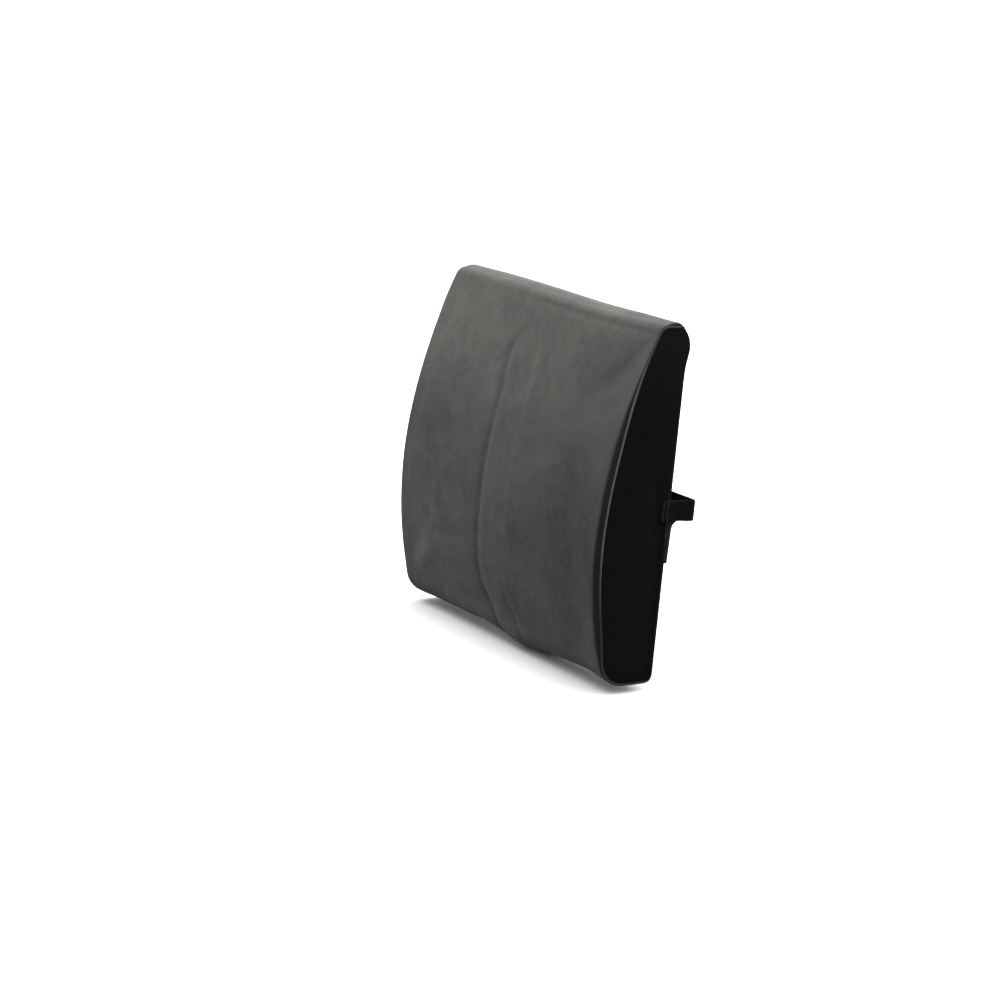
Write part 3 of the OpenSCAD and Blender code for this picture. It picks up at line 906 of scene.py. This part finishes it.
def cut_line(line, y):
    """The parts of a line before and after it first passes y."""
    for i in range(1, len(line)):
        if line[i, 1] >= y:
            t = (y - line[i - 1, 1]) / (line[i, 1] - line[i - 1, 1])
            cut = line[i - 1] + (line[i] - line[i - 1]) * t
            return np.vstack([line[:i], [cut]]), np.vstack([[cut], line[i:]])
    raise ValueError("the line never passes y")


strap_piece("webbing_right", centre_line("strap_right"), "strap_right")
left_run = centre_line("strap_left")
root_line, arm_line = cut_line(centre_line("strap_left_arm"), BEND_END)
strap_piece("webbing_left_root", root_line, "strap_left_arm")
strap_piece("webbing_left", np.vstack([arm_line, left_run]), "strap_left")


# ---- Tabs in the back seam ------------------------------------------------------------

def tab(word):
    """A doubled piece of tape with a curved edge, stitched into the back seam."""
    node = f"strap_tab_{word}"
    low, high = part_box(node)
    reach = {}
    for v in nodes[node].data.vertices:
        z, y = round(v.co.z, 5), round(v.co.y, 5)
        reach[z] = max(y, reach.get(z, 0))
    heights = sorted(reach)
    rows = np.linspace(low.z + 0.8 * MM, high.z - 0.8 * MM, 64)
    out = np.interp(rows, heights, [reach[z] for z in heights]) - 0.5 * MM
    columns = np.linspace(0, 1, 13)
    middle_x = (low.x + high.x) / 2
    points = [(middle_x, TAB_ROOT + (r - TAB_ROOT) * c, z) for r, z in zip(out, rows) for c in columns]
    piece = add_mesh(f"seam_tab_{word}", points, strips(len(rows), len(columns)), TAPE)
    thick = piece.modifiers.new("thickness", "SOLIDIFY")
    thick.thickness = (high.x - low.x) - 0.3 * MM
    thick.offset = 0
    edge_round = piece.modifiers.new("rounded edge", "BEVEL")
    edge_round.width = 0.45 * MM
    edge_round.segments = 3
    edge_round.limit_method = "ANGLE"
    apply_modifiers(piece)
    stand_in(piece, node)


TAB_ROOT = -3 * MM           # in Y, where a tab starts inside the seam
for word in ("left", "right"):
    tab(word)


# ---- Zip -----------------------------------------------------------------------------

def zip_tape(word):
    """A woven tape under a back panel's folded edge, with the slight waves that sewing leaves."""
    node = f"zip_tape_{word}"
    low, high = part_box(node)
    xs = np.linspace(low.x, high.x, 240)
    path = [(x, (low.y + high.y) / 2, (low.z + high.z) / 2) for x in xs]
    half = (high.z - low.z) / 2
    t = (high.y - low.y) / 2

    def ring(along):
        ripple = 0.03 * MM * math.sin(along / (4.3 * MM))
        us = [half * f for f in (-0.96, -0.6, -0.2, 0.2, 0.6, 0.96)]
        face = [(0.8 * t + ripple, u) for u in us]
        return face + [(0, half)] + [(-0.8 * t + ripple, u) for u in us[::-1]] + [(0, -half)]

    stand_in(sweep(f"woven_zip_tape_{word}", path, ring, TAPE, across=(0, 0, 1)), node)


zip_tape("upper")
zip_tape("lower")


def running_stitch(name, line, outward, length, pitch, radius):
    """A row of thread arches along a line on a surface whose outward direction is given."""
    sides, rings = 6, 5
    path = walk_by(line, pitch)
    outward = Vector(outward)
    points, faces = [], []
    for a, b in zip(path[:-1], path[1:]):
        faces += tube(rings, sides, base=len(points))
        a, b = Vector(a), Vector(b)
        forward = (b - a).normalized()
        across = forward.cross(outward).normalized()
        for k in range(rings):
            t = k / (rings - 1)
            arch = math.sin(math.pi * t)
            centre = a + forward * length * t + outward * radius * (1.5 * arch - 0.7)
            slim = 0.75 + 0.25 * arch
            points += [centre + (outward * c + across * s) * radius * slim for c, s in round_ring(1, sides)]
    piece = add_mesh(name, points, faces, THREAD)
    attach(piece, "cushion")


for z, word in ((zip_high + 4.5 * MM, "upper"), (zip_low - 4.5 * MM, "lower")):
    running_stitch(f"zip_topstitch_{word}", [(-zip_x, 0, z), (zip_x, 0, z)], (0, 1, 0),
                   length=2.2 * MM, pitch=3 * MM, radius=0.22 * MM)


# ---- CAD parts that keep their shape --------------------------------------------------

CAD_LOOKS = (
    (ENAMEL, 0.18, ("zip_slider", "zip_pull", "zip_stops")),
    (NYLON, 0.16, ("zip_coil_upper", "zip_coil_lower")),
    (ACETAL, 0.45, ("buckle_female", "buckle_male", "prong_upper", "prong_lower", "strap_keeper")),
    (THREAD, 0.0, ("strap_bartacks", "strap_right_stitching", "strap_hem_stitching")),
)
for material, edge_mm, names in CAD_LOOKS:
    for name in names:
        part = nodes[name]
        part.data.materials.clear()
        part.data.materials.append(material)
        part.data.polygons.foreach_set("use_smooth", [True] * len(part.data.polygons))
        weld = part.modifiers.new("weld", "WELD")
        weld.merge_threshold = 0.01 * MM
        if edge_mm:
            bevel = part.modifiers.new("moulded edges", "BEVEL")
            bevel.width = edge_mm * MM
            bevel.segments = 3
            bevel.limit_method = "ANGLE"
            bevel.angle_limit = math.radians(35)
            bevel.harden_normals = True


# ---- Stage ---------------------------------------------------------------------------

CAMERA_AZIMUTH, CAMERA_ELEVATION, CAMERA_ROLL = 54.308, 13.002, -5.336
CAMERA_DISTANCE = 2.3964
CAMERA_LENS = 87.71          # millimetres, on a sensor 36 wide
CAMERA_TARGET = Vector((-0.0578, -0.0319, -0.0472))
FLOOR_SEEN, FLOOR_BOUNCE = (0.90, 0.90, 0.90), (0.13, 0.13, 0.13)
FLOOR_EDGE = 60.0            # half its width
HORIZON, OVERHEAD = 0.10, 2.28                # strength of the light from around and from above
SOFTBOXES = (                                 # name, place, size and watts
    ("key", (-0.6, -1.5, 2.6), (1.6, 1.2), 27),
    ("top", (0.3, 0.2, 2.6), (1.8, 1.4), 24),
    ("rear", (-0.9, 2.3, 0.9), (1.6, 1.6), 80),
)


def seen_or_lit(tree, seen, lit):
    """`seen` where the camera looks straight at it, and `lit` for the light that it sends on."""
    return tree.mix(tree.add("ShaderNodeLightPath").outputs["Is Camera Ray"], lit, seen)


def studio_floor():
    z = min(v.co.z for v in front_piece.data.vertices) - 0.5 * MM
    shader = Shader("pale_floor", Roughness=0.85, Specular_IOR_Level=0.2)
    shader.colour(seen_or_lit(shader, FLOOR_SEEN, FLOOR_BOUNCE))
    corners = [(x * FLOOR_EDGE, y * FLOOR_EDGE, z) for x, y in ((-1, -1), (1, -1), (1, 1), (-1, 1))]
    add_mesh("floor", corners, [(0, 1, 2, 3)], shader.material)


def studio_light():
    """Plain white where the camera sees it. It lights from low at the horizon to high overhead."""
    scene.world = bpy.data.worlds.new("studio")
    scene.world.use_nodes = True
    tree = Nodes(scene.world.node_tree)
    where = tree.add("ShaderNodeTexCoord").outputs["Generated"]
    up = tree.add("ShaderNodeSeparateXYZ", Vector=where).outputs["Z"]
    tree.set(tree.tree.nodes["Background"].inputs["Color"],
             seen_or_lit(tree, (1, 1, 1), tree.remap(up, 0, 1, HORIZON, OVERHEAD)))
    for name, at, size, power in SOFTBOXES:
        light = bpy.data.lights.new(name, "AREA")
        light.shape = "RECTANGLE"
        light.size, light.size_y = size
        light.energy = power
        obj = bpy.data.objects.new(name, light)
        obj.location = at
        obj.rotation_euler = (-Vector(at)).to_track_quat("-Z", "Y").to_euler()
        scene.collection.objects.link(obj)


def camera():
    azimuth, elevation, roll = (math.radians(a) for a in (CAMERA_AZIMUTH, CAMERA_ELEVATION, CAMERA_ROLL))
    back = Vector((math.sin(azimuth) * math.cos(elevation), -math.cos(azimuth) * math.cos(elevation),
                   math.sin(elevation)))
    right = Vector((math.cos(azimuth), math.sin(azimuth), 0))
    up = back.cross(right)
    turned_right = right * math.cos(roll) - up * math.sin(roll)
    turned_up = right * math.sin(roll) + up * math.cos(roll)
    data = bpy.data.cameras.new("camera")
    data.lens = CAMERA_LENS
    data.sensor_width = 36
    obj = bpy.data.objects.new("camera", data)
    turn = Matrix((turned_right, turned_up, back)).transposed().to_4x4()
    obj.matrix_world = Matrix.Translation(CAMERA_TARGET + back * CAMERA_DISTANCE) @ turn
    scene.collection.objects.link(obj)
    scene.camera = obj


studio_floor()
studio_light()
camera()
scene.view_settings.view_transform = "Standard"
